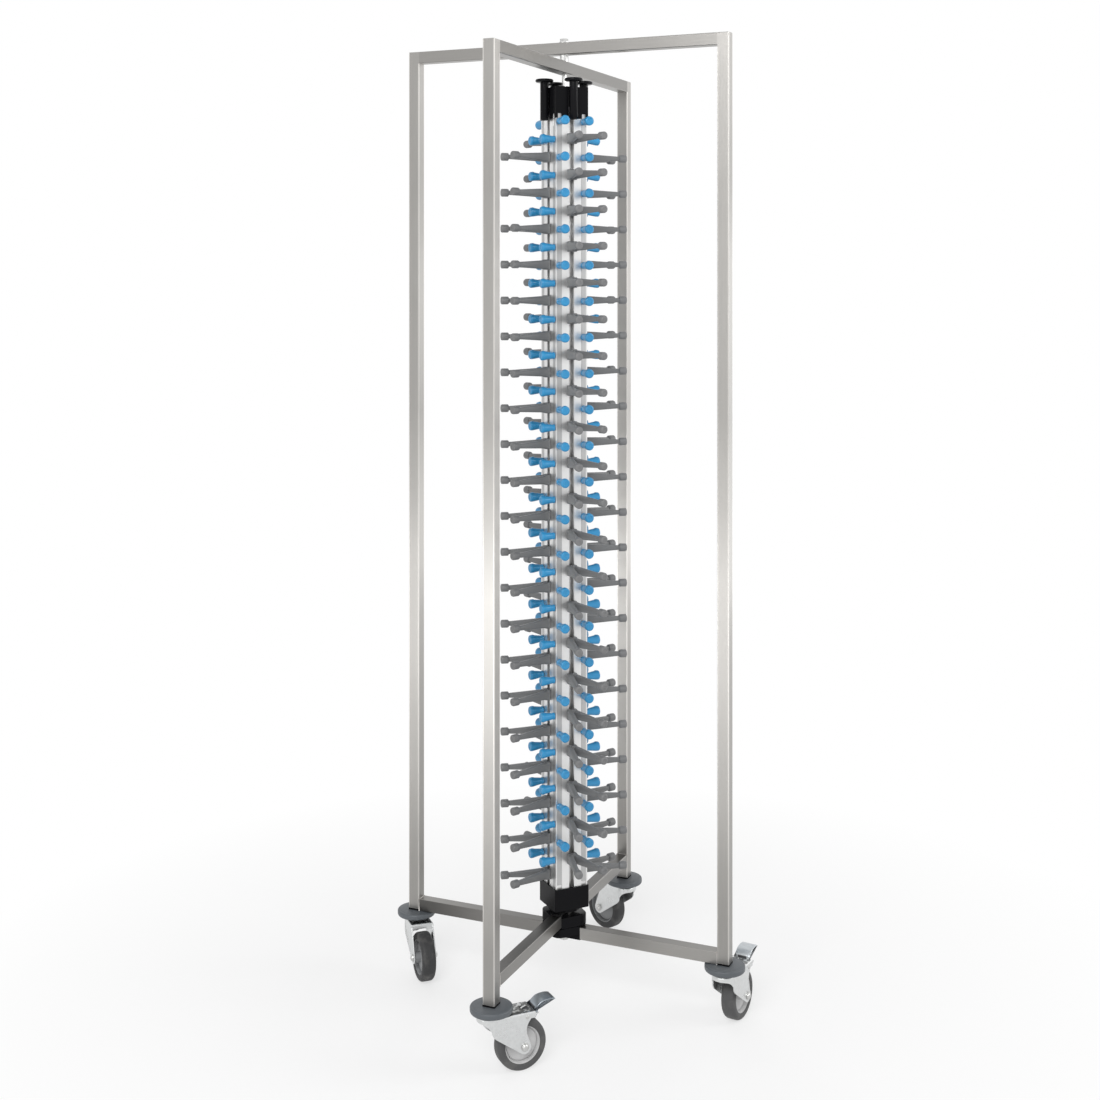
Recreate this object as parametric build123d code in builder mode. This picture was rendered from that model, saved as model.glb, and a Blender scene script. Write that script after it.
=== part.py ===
from build123d import *
import os
from math import atan2, cos, degrees, radians, sin

os.makedirs("parts", exist_ok=True)

# A plate rack on castors, in millimetres. Two tube frames cross on one upright axis and
# fold about it like a screen. Between their bars stands a square extruded mast with a
# stack of rests on each side. Pieces are made about the fold axis and saved about the
# middle of the footprint, which the castors push a little to the right and back of it.
# The floor is at zero, +Z is up, and the mast's sides face -Y (front), +X (right),
# +Y (back) and -X (left).

# Driving sizes of the two frames
tube = 25.0
tube_wall = 1.5
tube_corner = 1.2
frame_length = 726.0
post_foot = 132.0
outer_top = 1999.0
top_bar_gap = 15.5
bottom_bar_gap = 6.0
frame_turn = -3.65
footprint_right = 19.0
footprint_back = 16.0

# Driving sizes of the pivots
bolt_radius = 5.0
bolt_sides = 8
running_gap = 0.1
seat_gap = 0.3
bolt_head_across = 17.0
bolt_head_height = 6.5
bolt_head_edge = 0.8
hexagon = 6
flange_radius = 10.5
flange_height = 2.0
bush_radius = 9.0
bush_sides = 12
hub_side = 78.0
hub_corner = 8.0
hub_rise = 10.0
hub_split_rise = 3.0
saddle_drop = 5.0
pivot_reach = 34.0

# Driving sizes of the mast
mast_side = 72.0
mast_wall = 2.2
slot_width = 11.5
face_plate_width = 16.5
ridge_width = 3.0
groove_depth = 2.8
channel_width = 24.0
channel_foot = 23.5
boss_radius = 10.0
web_thickness = 2.5

# Driving sizes of the cap and the shoe
cap_drop = 29.5
cap_height = 66.0
cap_lap = 10.0
cap_wall = 1.4
cap_roof = 7.0
cap_slot_width = 16.0
shoe_depth = 39.0
shoe_wall = 2.6
shoe_corner = 1.3
shoe_floor = 6.0
sleeve_gap = 0.15
shoe_neck_radius = 34.0
shoe_neck_height = 7.7
washer_radius = 28.0
washer_thickness = 2.0
disc_sides = 16

# Driving sizes of the rests
level_count = 21
top_finger_drop = 6.5
lowest_finger_rise = 96.5
finger_radius = 10.0
finger_reach = 67.0
finger_sides = 6
neck_width = 8.0
neck_height = 12.0
neck_side_gap = 0.5
fork_drop = 35.5
fork_reach = 124.0
fork_spread = 27.0
fork_root_width = 24.0
fork_root_height = 22.0
fork_crotch = 50.0
fork_tip_height = 10.0
fork_tip_width = 9.0
fork_pad_across = 16.5
fork_pad_height = 17.0

# Driving sizes of the lift frames and handles
strip_thickness = 3.0
strip_top_thickness = 1.6
strip_rise = 9.0
strip_back_gap = 0.1
bridge_gap = 2.0
bridge_height = 12.0
lift_travel = 10.0
handle_radius = 9.0
handle_sides = 8
handle_place = 45.5
handle_drop = 3.0
handle_rise = 10.0
knob_radius = 19.0
knob_sides = 16
knob_thickness = 7.0
knob_edge = 1.2
tongue_width = 9.0

# Driving sizes of the castors
bumper_radius = 41.0
bumper_thickness = 13.0
bumper_edge = 3.0
swivel_plate_radius = 25.0
swivel_plate_thickness = 4.0
stem_length = 45.0
kingpin_radius = 6.0
kingpin_sides = 8
kingpin_head_radius = 10.0
kingpin_head_height = 3.0
trail = 59.0
wheel_radius = 50.0
wheel_sides = 16
tread_width = 30.0
tread_depth = 12.0
tread_crown = 4.0
hub_radius = 11.0
axle_radius = 4.0
axle_sides = 8
axle_head_across = 14.0
axle_head_height = 5.5
fork_inside = 22.0
fork_plate = 2.5
fork_eye = 13.0
fork_eye_sides = 10
fork_crown_thickness = 3.5
fork_skirt = 10.0
nose_shape = [(-8.0, 1.0), (-18.5, 0.88), (-25.5, 0.55), (-28.5, 0.0)]
plain_crown_end = 48.0
brake_crown_end = 82.0
cheek_front = [(-8.0, -30.0), (-2.0, -38.0)]
brake_cheek = [(40.0, 0.0), (40.0, -36.0), (61.0, -36.0), (64.0, -22.0), (74.0, -9.7), (89.0, -4.2),
               (89.0, 0.0)]
rim_width = 26.0
rim_web = 8.0
rim_lip = 4.0
pedal_width = 33.0
pedal_pivot_reach = 5.0
pedal_pivot_drop = 5.2
pedal_pin_radius = 3.0
pedal_shape = [(-5.5, -3.0), (2.0, -4.2), (16.0, -6.0), (21.0, -6.7), (24.0, -2.0), (27.0, 11.0),
               (32.0, 17.5), (62.0, 19.0), (62.0, 23.2), (30.0, 21.6), (22.5, 12.5), (19.5, 4.3),
               (-5.5, 2.5)]

# Sizes worked out from the ones above
half_tube = tube / 2
half_frame = frame_length / 2
post_place = half_frame - half_tube
half_mast = mast_side / 2
outer_heading = 135 + frame_turn
inner_heading = 45 + frame_turn
inner_top = outer_top - tube - top_bar_gap
outer_rail_foot = post_foot
outer_rail_top = outer_rail_foot + tube
inner_rail_foot = outer_rail_top + bottom_bar_gap
inner_rail_top = inner_rail_foot + tube
hub_foot = outer_rail_foot + hub_rise
hub_split = outer_rail_top + hub_split_rise
saddle_top = inner_rail_top - saddle_drop
washer_foot = inner_rail_top + seat_gap
neck_foot = washer_foot + washer_thickness
shoe_foot = neck_foot + shoe_neck_height
mast_foot = shoe_foot + shoe_floor
shoe_top = mast_foot + shoe_depth
cap_top = inner_top - tube - cap_drop
cap_foot = cap_top - cap_height
mast_top = cap_foot + cap_lap
hole_radius = bolt_radius + running_gap
plate_inner = slot_width / 2
plate_outer = plate_inner + face_plate_width
ridge_inner = half_mast - ridge_width
groove_face = half_mast - groove_depth
strip_inner = plate_outer + seat_gap
strip_outer = ridge_inner - seat_gap
strip_back = groove_face + strip_back_gap
strip_front = strip_back + strip_thickness
strip_top_front = strip_back + strip_top_thickness
strip_foot = shoe_top + strip_rise
band_centre = (plate_outer + ridge_inner) / 2
strip_middle = (strip_inner + strip_outer) / 2
wall_inner = groove_face - mast_wall
channel_back = channel_foot - mast_wall
cap_inside = half_mast + sleeve_gap
cap_outside = cap_inside + cap_wall
shoe_outside = cap_inside + shoe_wall
bridge_foot = mast_top + bridge_gap
bridge_top = bridge_foot + bridge_height
handle_foot = cap_foot - handle_drop
handle_top = cap_top + handle_rise
finger_back = cap_outside + seat_gap
finger_front_height = cap_foot - top_finger_drop
strip_step = finger_front_height - finger_radius
level_pitch = (finger_front_height - shoe_top - lowest_finger_rise) / (level_count - 1)
finger_side_height = finger_front_height - level_pitch / 2
neck_slot_top = finger_front_height + neck_height / 2 + lift_travel + seat_gap
finger_turn = 180 / finger_sides
fork_run = fork_reach - half_mast
fork_taper = (fork_root_height - fork_tip_height) / 2
arm_angle = degrees(atan2(fork_spread - fork_root_width / 4, fork_run))
arm_along = Vector(cos(radians(arm_angle)), sin(radians(arm_angle)))
arm_across = Vector(-sin(radians(arm_angle)), cos(radians(arm_angle)))
arm_end = Vector(fork_reach, fork_spread)
arm_outer = arm_end + arm_across * (fork_tip_width / 2)
arm_inner = arm_end - arm_across * (fork_tip_width / 2)
top_head_foot = outer_top + flange_height
bottom_head_top = outer_rail_foot - flange_height
bumper_foot = post_foot - bumper_thickness
swivel_plate_foot = bumper_foot - swivel_plate_thickness
crown_top = swivel_plate_foot - seat_gap
crown_foot = crown_top - fork_crown_thickness
skirt_foot = crown_top - fork_skirt
rim_radius = wheel_radius - tread_depth
kingpin_foot = crown_foot - seat_gap - kingpin_head_height
fork_outside = fork_inside + fork_plate
hub_half_width = fork_inside - seat_gap
pedal_pivot_along = trail + pedal_pivot_reach
pedal_pivot_height = crown_foot - pedal_pivot_drop
pedal_outline = [(pedal_pivot_along + along, pedal_pivot_height + up) for along, up in pedal_shape]


def save(piece, name):
    """Move a finished piece to the footprint's frame, label it and write its file."""
    placed = piece.moved(Location((-footprint_right, -footprint_back, 0)))
    placed.label = name
    export_step(placed, f"parts/{name}.step")


def turned(piece, heading):
    """Turn a piece about the fold axis by a heading in degrees."""
    return piece.moved(Location((0, 0, 0), (0, 0, heading)))


def prism(foot, top, radius, sides, clear=False):
    """An upright prism on the axis, with its corners at the radius, or its flats if a bore."""
    with BuildPart() as made:
        with BuildSketch(Plane.XY.offset(foot)):
            RegularPolygon(radius=radius, side_count=sides, major_radius=not clear)
        extrude(amount=top - foot)
    return made.part


# Posts and bars
# Each frame is made in its own X-Z plane: its posts at both ends, its bars between them.
with BuildSketch() as tube_section:
    Rectangle(tube, tube)
    chamfer(tube_section.vertices(), tube_corner)
    Rectangle(tube - 2 * tube_wall, tube - 2 * tube_wall, mode=Mode.SUBTRACT)


def make_post(top):
    """One square tube post, mitred where the top bar meets it."""
    with BuildPart() as post:
        with BuildSketch(Plane.XY.offset(post_foot)):
            with Locations((post_place, 0)):
                add(tube_section.sketch)
        extrude(amount=top - post_foot)
        mitre = Plane(origin=(half_frame, 0, top), x_dir=(0, 1, 0), z_dir=(1, 0, -1))
        split(bisect_by=mitre, keep=Keep.TOP)
    return post.part


def make_top_bar(top):
    """One square tube across the top of a frame, mitred at both ends and bored for the pivot."""
    with BuildPart() as bar:
        with BuildSketch(Plane.YZ.offset(-half_frame)):
            with Locations((0, top - half_tube)):
                add(tube_section.sketch)
        extrude(amount=frame_length)
        for end in (1, -1):
            mitre = Plane(origin=(end * half_frame, 0, top), x_dir=(0, 1, 0), z_dir=(-end, 0, 1))
            split(bisect_by=mitre, keep=Keep.TOP)
        add(prism(top - tube, top, hole_radius, bolt_sides, clear=True), mode=Mode.SUBTRACT)
    return bar.part


def make_bottom_bar(foot):
    """One square tube between the two posts of a frame, bored for the pivot."""
    reach = post_place - half_tube
    with BuildPart() as bar:
        with BuildSketch(Plane.YZ.offset(-reach)):
            with Locations((0, foot + half_tube)):
                add(tube_section.sketch)
        extrude(amount=2 * reach)
        add(prism(foot, foot + tube, hole_radius, bolt_sides, clear=True), mode=Mode.SUBTRACT)
    return bar.part


outer_post = make_post(outer_top)
inner_post = make_post(inner_top)
save(turned(outer_post, outer_heading), "outer_post_rear")
save(turned(outer_post, outer_heading + 180), "outer_post_front")
save(turned(inner_post, inner_heading), "inner_post_rear")
save(turned(inner_post, inner_heading + 180), "inner_post_front")
save(turned(make_top_bar(outer_top), outer_heading), "outer_top_bar")
save(turned(make_top_bar(inner_top), inner_heading), "inner_top_bar")
save(turned(make_bottom_bar(outer_rail_foot), outer_heading), "outer_bottom_bar")
save(turned(make_bottom_bar(inner_rail_foot), inner_heading), "inner_bottom_bar")


# Pivots
# The upper bolt drops through both top bars into the cap, and the lower one rises
# through both bottom bars into the shoe. A bush keeps each pair of bars apart.
def make_bush(foot, top):
    """One bush between two crossing bars."""
    with BuildPart() as bush:
        add(prism(foot, top, bush_radius, bush_sides))
        add(prism(foot, top, hole_radius, bolt_sides, clear=True), mode=Mode.SUBTRACT)
    return bush.part


with BuildPart() as top_pivot_bolt:
    add(prism(top_head_foot, top_head_foot + bolt_head_height, bolt_head_across / 2, hexagon,
              clear=True))
    chamfer(top_pivot_bolt.edges().group_by(Axis.Z)[-1], bolt_head_edge)
    add(prism(outer_top, top_head_foot, flange_radius, bush_sides))
    add(prism(cap_top - pivot_reach, outer_top, bolt_radius, bolt_sides))
save(top_pivot_bolt.part, "top_pivot_bolt")

with BuildPart() as bottom_pivot_bolt:
    add(prism(bottom_head_top - bolt_head_height, bottom_head_top, bolt_head_across / 2, hexagon,
              clear=True))
    chamfer(bottom_pivot_bolt.edges().group_by(Axis.Z)[0], bolt_head_edge)
    add(prism(bottom_head_top, outer_rail_foot, flange_radius, bush_sides))
    add(prism(outer_rail_foot, neck_foot + pivot_reach, bolt_radius, bolt_sides))
save(bottom_pivot_bolt.part, "bottom_pivot_bolt")

save(make_bush(inner_top, outer_top - tube), "top_bush")
save(make_bush(outer_rail_top, inner_rail_foot), "bottom_bush")

# Hub at the crossing of the bottom bars
# A block clamps the lower bar and a saddle holds the upper one, so each turns with its frame.
with BuildSketch() as hub_section:
    Rectangle(hub_side, hub_side)
    chamfer(hub_section.vertices(), hub_corner)

with BuildPart() as hub_block:
    with BuildSketch(Plane.XY.offset(hub_foot)):
        add(hub_section.sketch)
    extrude(amount=hub_split - hub_foot)
    with BuildSketch(Plane.XY.offset(hub_foot)):
        Rectangle(2 * hub_side, tube, rotation=outer_heading)
    extrude(amount=outer_rail_top - hub_foot, mode=Mode.SUBTRACT)
    add(prism(hub_foot, hub_split, bush_radius, bush_sides), mode=Mode.SUBTRACT)
save(hub_block.part, "hub_block")

with BuildPart() as hub_saddle:
    with BuildSketch(Plane.XY.offset(hub_split + seat_gap)):
        add(hub_section.sketch)
    extrude(amount=saddle_top - hub_split - seat_gap)
    with BuildSketch(Plane.XY.offset(inner_rail_foot)):
        Rectangle(2 * hub_side, tube, rotation=inner_heading)
    extrude(amount=saddle_top - inner_rail_foot, mode=Mode.SUBTRACT)
    add(prism(hub_split, saddle_top, bush_radius + seat_gap, bush_sides, clear=True),
        mode=Mode.SUBTRACT)
save(hub_saddle.part, "hub_saddle")

# Mast
# A hollow extrusion: each side has a slot over a channel, two proud face plates, and a
# shallow groove beside each corner where the lift frame's strips run.
with BuildPart() as mast:
    with BuildSketch(Plane.XY.offset(mast_foot)):
        Rectangle(mast_side, mast_side)
        Rectangle(2 * wall_inner, 2 * wall_inner, mode=Mode.SUBTRACT)
        with PolarLocations((channel_back + wall_inner) / 2, 4):
            Rectangle(wall_inner - channel_back, channel_width + 2 * mast_wall)
        with PolarLocations((channel_foot + wall_inner) / 2, 4):
            Rectangle(wall_inner - channel_foot, channel_width, mode=Mode.SUBTRACT)
        with PolarLocations((wall_inner + half_mast) / 2, 4):
            Rectangle(half_mast - wall_inner, slot_width, mode=Mode.SUBTRACT)
        with PolarLocations((groove_face + half_mast) / 2, 4):
            with Locations((0, band_centre), (0, -band_centre)):
                Rectangle(groove_depth, ridge_inner - plate_outer, mode=Mode.SUBTRACT)
        with PolarLocations(channel_back / 2, 4):
            Rectangle(channel_back, web_thickness)
        RegularPolygon(radius=boss_radius, side_count=bush_sides)
        RegularPolygon(radius=hole_radius, side_count=bolt_sides, major_radius=False,
                       mode=Mode.SUBTRACT)
    extrude(amount=mast_top - mast_foot)
save(mast.part, "mast")

with BuildPart() as top_cap:
    with BuildSketch(Plane.XY.offset(cap_foot)):
        Rectangle(2 * cap_outside, 2 * cap_outside)
    extrude(amount=cap_top - cap_foot)
    with BuildSketch(Plane.XY.offset(cap_foot)):
        Rectangle(2 * cap_inside, 2 * cap_inside)
    extrude(amount=cap_top - cap_roof - cap_foot, mode=Mode.SUBTRACT)
    add(prism(mast_top, cap_top - cap_roof, boss_radius, bush_sides))
    with BuildSketch(Plane.XY.offset(cap_foot)):
        with PolarLocations((cap_inside + cap_outside) / 2, 4):
            Rectangle(cap_outside - cap_inside, cap_slot_width)
    extrude(amount=cap_top - cap_foot, mode=Mode.SUBTRACT)
    with BuildSketch(Plane.XY.offset(cap_foot)):
        with PolarLocations((cap_inside + cap_outside) / 2, 4):
            with Locations((0, band_centre), (0, -band_centre)):
                Rectangle(cap_outside - cap_inside, neck_width + 2 * neck_side_gap)
    extrude(amount=neck_slot_top - cap_foot, mode=Mode.SUBTRACT)
    add(prism(mast_top, cap_top, hole_radius, bolt_sides, clear=True), mode=Mode.SUBTRACT)
save(top_cap.part, "top_cap")

with BuildPart() as base_shoe:
    with BuildSketch(Plane.XY.offset(shoe_foot)):
        Rectangle(2 * shoe_outside, 2 * shoe_outside)
    extrude(amount=shoe_top - shoe_foot)
    chamfer(base_shoe.edges().filter_by(Axis.Z), shoe_corner)
    with BuildSketch(Plane.XY.offset(mast_foot)):
        Rectangle(2 * cap_inside, 2 * cap_inside)
    extrude(amount=shoe_top - mast_foot, mode=Mode.SUBTRACT)
    add(prism(neck_foot, shoe_foot, shoe_neck_radius, disc_sides))
    add(prism(neck_foot, mast_foot, hole_radius, bolt_sides, clear=True), mode=Mode.SUBTRACT)
save(base_shoe.part, "base_shoe")

with BuildPart() as thrust_washer:
    add(prism(washer_foot, neck_foot, washer_radius, disc_sides))
    add(prism(washer_foot, neck_foot, hole_radius, bolt_sides, clear=True), mode=Mode.SUBTRACT)
save(thrust_washer.part, "thrust_washer")

# Lift frames and handles
# All four are alike. A pressed U runs in the two grooves of one side and joins over the
# top of the mast, where the handle's tongue meets it through the cap's slot. Its upper end
# is thinner, to pass inside the cap.
with BuildPart() as lift_frame:
    with BuildSketch(Plane.YZ.offset(strip_back)):
        with Locations((0, (bridge_foot + bridge_top) / 2)):
            Rectangle(2 * strip_outer, bridge_height)
        with Locations((strip_middle, (strip_foot + bridge_top) / 2),
                       (-strip_middle, (strip_foot + bridge_top) / 2)):
            Rectangle(strip_outer - strip_inner, bridge_top - strip_foot)
    extrude(amount=strip_top_thickness)
    with BuildSketch(Plane.YZ.offset(strip_back)):
        with Locations((strip_middle, (strip_foot + strip_step) / 2),
                       (-strip_middle, (strip_foot + strip_step) / 2)):
            Rectangle(strip_outer - strip_inner, strip_step - strip_foot)
    extrude(amount=strip_thickness)

with BuildPart() as handle:
    with BuildSketch(Plane.XY.offset(handle_top)):
        with Locations((handle_place, 0)):
            RegularPolygon(radius=knob_radius, side_count=knob_sides)
    extrude(amount=knob_thickness)
    chamfer(handle.edges().group_by(Axis.Z)[-1], knob_edge)
    with BuildSketch(Plane.XY.offset(handle_foot)):
        with Locations((handle_place, 0)):
            RegularPolygon(radius=handle_radius, side_count=handle_sides)
    extrude(amount=handle_top - handle_foot)
    with BuildSketch(Plane.YZ.offset(strip_top_front)):
        with Locations((0, (bridge_foot + bridge_top) / 2)):
            Rectangle(tongue_width, bridge_height)
    extrude(amount=handle_place - strip_top_front)


# Rests
# The upper ones are pairs of fingers on the strips, cut to six flats; the lower ones are forks
# seated on the face plates. Plates hang between them by their inner edge.
def level_heights(first):
    """Heights of one stack's rests, from the top one down."""
    return [first - level_pitch * level for level in range(level_count)]


def make_fingers(first):
    """All the fingers of one stack. One that rises past the cap's foot stands on a neck."""
    heights = level_heights(first)
    necked = [height for height in heights if height + finger_radius + lift_travel > cap_foot]
    plain = heights[len(necked):]
    with BuildPart() as fingers:
        for start, some in ((finger_back, necked), (strip_front, plain)):
            places = [(side * band_centre, height) for height in some for side in (1, -1)]
            if places:
                with BuildSketch(Plane.YZ.offset(start)):
                    with Locations(*places):
                        RegularPolygon(radius=finger_radius, side_count=finger_sides,
                                       rotation=finger_turn)
                extrude(amount=finger_reach - start)
        if necked:
            with BuildSketch(Plane.YZ.offset(strip_top_front)):
                with Locations(*[(side * band_centre, height) for height in necked
                                 for side in (1, -1)]):
                    Rectangle(neck_width, neck_height)
            extrude(amount=finger_back - strip_top_front)
    return fingers.part


with BuildPart() as fork:
    with BuildSketch(Plane.XY.offset(-fork_root_height / 2)):
        with BuildLine():
            Polyline((half_mast, fork_root_width / 2), arm_outer, arm_inner, (fork_crotch, 0))
            mirror(about=Plane.XZ)
            Line((half_mast, fork_root_width / 2), (half_mast, -fork_root_width / 2))
        make_face()
    extrude(amount=fork_root_height)
    for side in (1, -1):
        slope = Plane(origin=(half_mast, 0, side * fork_root_height / 2),
                      z_dir=(fork_taper, 0, side * fork_run))
        split(bisect_by=slope, keep=Keep.BOTTOM)
    for side in (1, -1):
        with BuildSketch(Plane.XY.offset(-fork_pad_height / 2)):
            with Locations((fork_reach, side * fork_spread)):
                Rectangle(fork_pad_across, fork_pad_across, rotation=side * arm_angle)
        extrude(amount=fork_pad_height)


def make_forks(first):
    """All the forks of one stack."""
    return Compound(children=[fork.part.moved(Location((0, 0, height)))
                              for height in level_heights(first)])


stacks = {"right": (0, finger_side_height), "back": (90, finger_front_height),
          "left": (180, finger_side_height), "front": (270, finger_front_height)}
for side_name, (heading, first_height) in stacks.items():
    save(turned(lift_frame.part, heading), f"lift_frame_{side_name}")
    save(turned(handle.part, heading), f"handle_{side_name}")
    save(turned(make_fingers(first_height), heading), f"upper_rests_{side_name}")
    save(turned(make_forks(first_height - fork_drop), heading), f"lower_rests_{side_name}")


# Castors
# Each is made about its own upright axis, with the wheel trailing towards +X.
with BuildPart() as bumper:
    add(prism(bumper_foot, post_foot, bumper_radius, disc_sides))
    chamfer(bumper.edges().group_by(Axis.Z)[0] + bumper.edges().group_by(Axis.Z)[-1], bumper_edge)
    add(prism(bumper_foot, post_foot, kingpin_radius, kingpin_sides), mode=Mode.SUBTRACT)

with BuildPart() as swivel_plate:
    add(prism(swivel_plate_foot, bumper_foot, swivel_plate_radius, disc_sides))
    add(prism(swivel_plate_foot, bumper_foot, kingpin_radius, kingpin_sides), mode=Mode.SUBTRACT)

with BuildPart() as stem:
    with BuildSketch(Plane.XY.offset(post_foot)):
        Rectangle(tube - 2 * tube_wall, tube - 2 * tube_wall)
    extrude(amount=stem_length)
    add(prism(kingpin_foot, post_foot, kingpin_radius, kingpin_sides))
    add(prism(kingpin_foot, kingpin_foot + kingpin_head_height, kingpin_head_radius, kingpin_sides))


def crown_outline(nose_setback, half_width, end):
    """The outline of a fork's crown from above: a rounded nose and a straight end."""
    nose = [(along + nose_setback, part * half_width) for along, part in nose_shape]
    other = [(along, -across) for along, across in reversed(nose[:-1])]
    return [(end, half_width), *nose, *other, (end, -half_width)]


def make_swivel_fork(braked):
    """The pressed fork: a skirted crown and two cheeks, which with a brake reach further back."""
    crown_end = brake_crown_end if braked else plain_crown_end
    inner_end = crown_end + fork_plate if braked else crown_end - fork_plate
    with BuildPart() as swivel_fork:
        with BuildSketch(Plane.XY.offset(skirt_foot)):
            Polygon(*crown_outline(0, fork_outside, crown_end), align=None)
        extrude(amount=fork_skirt)
        with BuildSketch(Plane.XY.offset(skirt_foot)):
            Polygon(*crown_outline(fork_plate, fork_inside, inner_end), align=None)
        extrude(amount=crown_foot - skirt_foot, mode=Mode.SUBTRACT)
        add(prism(crown_foot, crown_top, kingpin_radius + running_gap, kingpin_sides, clear=True),
            mode=Mode.SUBTRACT)
        with BuildSketch(Plane.XZ.offset(fork_inside)):
            with Locations((trail, wheel_radius)):
                RegularPolygon(radius=fork_eye, side_count=fork_eye_sides)
            Polygon((plain_crown_end, crown_top), (nose_shape[0][0], crown_top),
                    *[(along, crown_top + up) for along, up in cheek_front], align=None)
            make_hull()
            if braked:
                Polygon(*[(along, crown_top + up) for along, up in brake_cheek], align=None)
            with Locations((trail, wheel_radius)):
                RegularPolygon(radius=axle_radius, side_count=axle_sides, mode=Mode.SUBTRACT)
        extrude(amount=fork_plate)
        mirror(about=Plane.XZ)
        if braked:
            with BuildSketch(Plane.XZ.offset(-fork_inside)):
                with Locations((pedal_pivot_along, pedal_pivot_height)):
                    RegularPolygon(radius=pedal_pin_radius, side_count=axle_sides)
            extrude(amount=2 * fork_inside)
    return swivel_fork.part


with BuildPart() as axle:
    with BuildSketch(Plane.XZ.offset(-fork_outside)):
        with Locations((trail, wheel_radius)):
            RegularPolygon(radius=axle_radius, side_count=axle_sides)
    extrude(amount=2 * fork_outside)
    with BuildSketch(Plane.XZ.offset(fork_outside)):
        with Locations((trail, wheel_radius)):
            RegularPolygon(radius=axle_head_across / 2, side_count=hexagon, major_radius=False)
    extrude(amount=axle_head_height)
    mirror(about=Plane.XZ)


def wheel_disc(radius, half_width, sides=wheel_sides):
    """A disc on the wheel's axis with flats at the radius, one of them down."""
    with BuildPart() as disc:
        with BuildSketch(Plane.XZ.offset(-half_width)):
            with Locations((trail, wheel_radius)):
                RegularPolygon(radius=radius, side_count=sides, major_radius=False,
                               rotation=180 / sides)
        extrude(amount=2 * half_width)
    return disc.part


with BuildPart() as wheel_centre:
    add(wheel_disc(rim_radius, rim_width / 2))
    add(wheel_disc(rim_radius - rim_lip, rim_width / 2), mode=Mode.SUBTRACT)
    add(wheel_disc(rim_radius - rim_lip, rim_web / 2))
    add(wheel_disc(hub_radius, hub_half_width, sides=bolt_sides))
    add(wheel_disc(axle_radius + running_gap, hub_half_width, sides=axle_sides),
        mode=Mode.SUBTRACT)

with BuildPart() as tyre:
    add(wheel_disc(wheel_radius, tread_width / 2))
    chamfer(tyre.edges().group_by(Axis.Y)[0] + tyre.edges().group_by(Axis.Y)[-1], tread_crown)
    add(wheel_disc(rim_radius, tread_width / 2), mode=Mode.SUBTRACT)

with BuildPart() as brake_pedal:
    with BuildSketch(Plane.XZ.offset(-pedal_width / 2)):
        with BuildLine():
            Polyline(*pedal_outline, close=True)
        make_face()
        with Locations((pedal_pivot_along, pedal_pivot_height)):
            RegularPolygon(radius=pedal_pin_radius + running_gap, side_count=axle_sides,
                           major_radius=False, mode=Mode.SUBTRACT)
    extrude(amount=pedal_width)


# Where each castor stands, which way it trails, and whether it has a brake
castors = {
    "rear_left": (outer_heading, -94.7, False),
    "front_right": (outer_heading + 180, 34.0, True),
    "front_left": (inner_heading + 180, -0.4, True),
    "rear_right": (inner_heading, 106.0, False),
}


def at_post(piece, heading, facing):
    """Move a piece from the fold axis to a post's axis, turned to face one way."""
    across = post_place * cos(radians(heading))
    along = post_place * sin(radians(heading))
    return piece.moved(Location((across, along, 0), (0, 0, facing)))


for frame_name, first_heading in (("outer", outer_heading), ("inner", inner_heading)):
    headings = (first_heading, first_heading + 180)
    for fixed_name, fixed_piece in (("bumpers", bumper), ("swivel_plates", swivel_plate), ("stems", stem)):
        pair = [at_post(fixed_piece.part, heading, heading) for heading in headings]
        save(Compound(children=pair), f"{frame_name}_{fixed_name}")

for corner_name, (heading, facing, braked) in castors.items():
    save(at_post(make_swivel_fork(braked), heading, facing), f"swivel_fork_{corner_name}")
    save(at_post(axle.part, heading, facing), f"axle_{corner_name}")
    save(at_post(wheel_centre.part, heading, facing), f"wheel_centre_{corner_name}")
    save(at_post(tyre.part, heading, facing), f"tyre_{corner_name}")
    if braked:
        save(at_post(brake_pedal.part, heading, facing), f"brake_pedal_{corner_name}")
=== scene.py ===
"""The looks of a folding plate rack on castors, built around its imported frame."""

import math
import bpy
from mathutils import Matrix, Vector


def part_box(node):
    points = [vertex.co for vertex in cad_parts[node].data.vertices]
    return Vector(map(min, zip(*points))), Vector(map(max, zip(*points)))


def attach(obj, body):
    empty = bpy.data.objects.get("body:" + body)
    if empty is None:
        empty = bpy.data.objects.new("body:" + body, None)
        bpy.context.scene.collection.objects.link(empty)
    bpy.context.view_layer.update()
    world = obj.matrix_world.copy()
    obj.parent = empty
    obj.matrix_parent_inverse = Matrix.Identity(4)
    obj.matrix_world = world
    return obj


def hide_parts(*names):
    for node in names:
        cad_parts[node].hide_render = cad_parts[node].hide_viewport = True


bl_info = {
    "name": "Plate rack finish",
    "version": (1, 0, 0),
    "blender": (4, 5, 0),
    "location": "3D View > Sidebar > Plate rack",
    "description": "Dresses the packed plate rack: tubes, mast, rests, handles and castors",
    "category": "Object",
}

import bpy
import numpy as np

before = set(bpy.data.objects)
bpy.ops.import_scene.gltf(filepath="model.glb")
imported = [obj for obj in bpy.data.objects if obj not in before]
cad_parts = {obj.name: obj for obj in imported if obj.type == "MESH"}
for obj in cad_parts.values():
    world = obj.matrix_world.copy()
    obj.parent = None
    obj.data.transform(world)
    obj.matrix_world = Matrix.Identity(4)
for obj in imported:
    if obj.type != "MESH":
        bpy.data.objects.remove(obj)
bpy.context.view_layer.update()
MM = 0.001

# The place of the upright fold axis, in metres
axis_place = np.array(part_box("top_pivot_bolt")).mean(axis=0)[:2]

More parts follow.
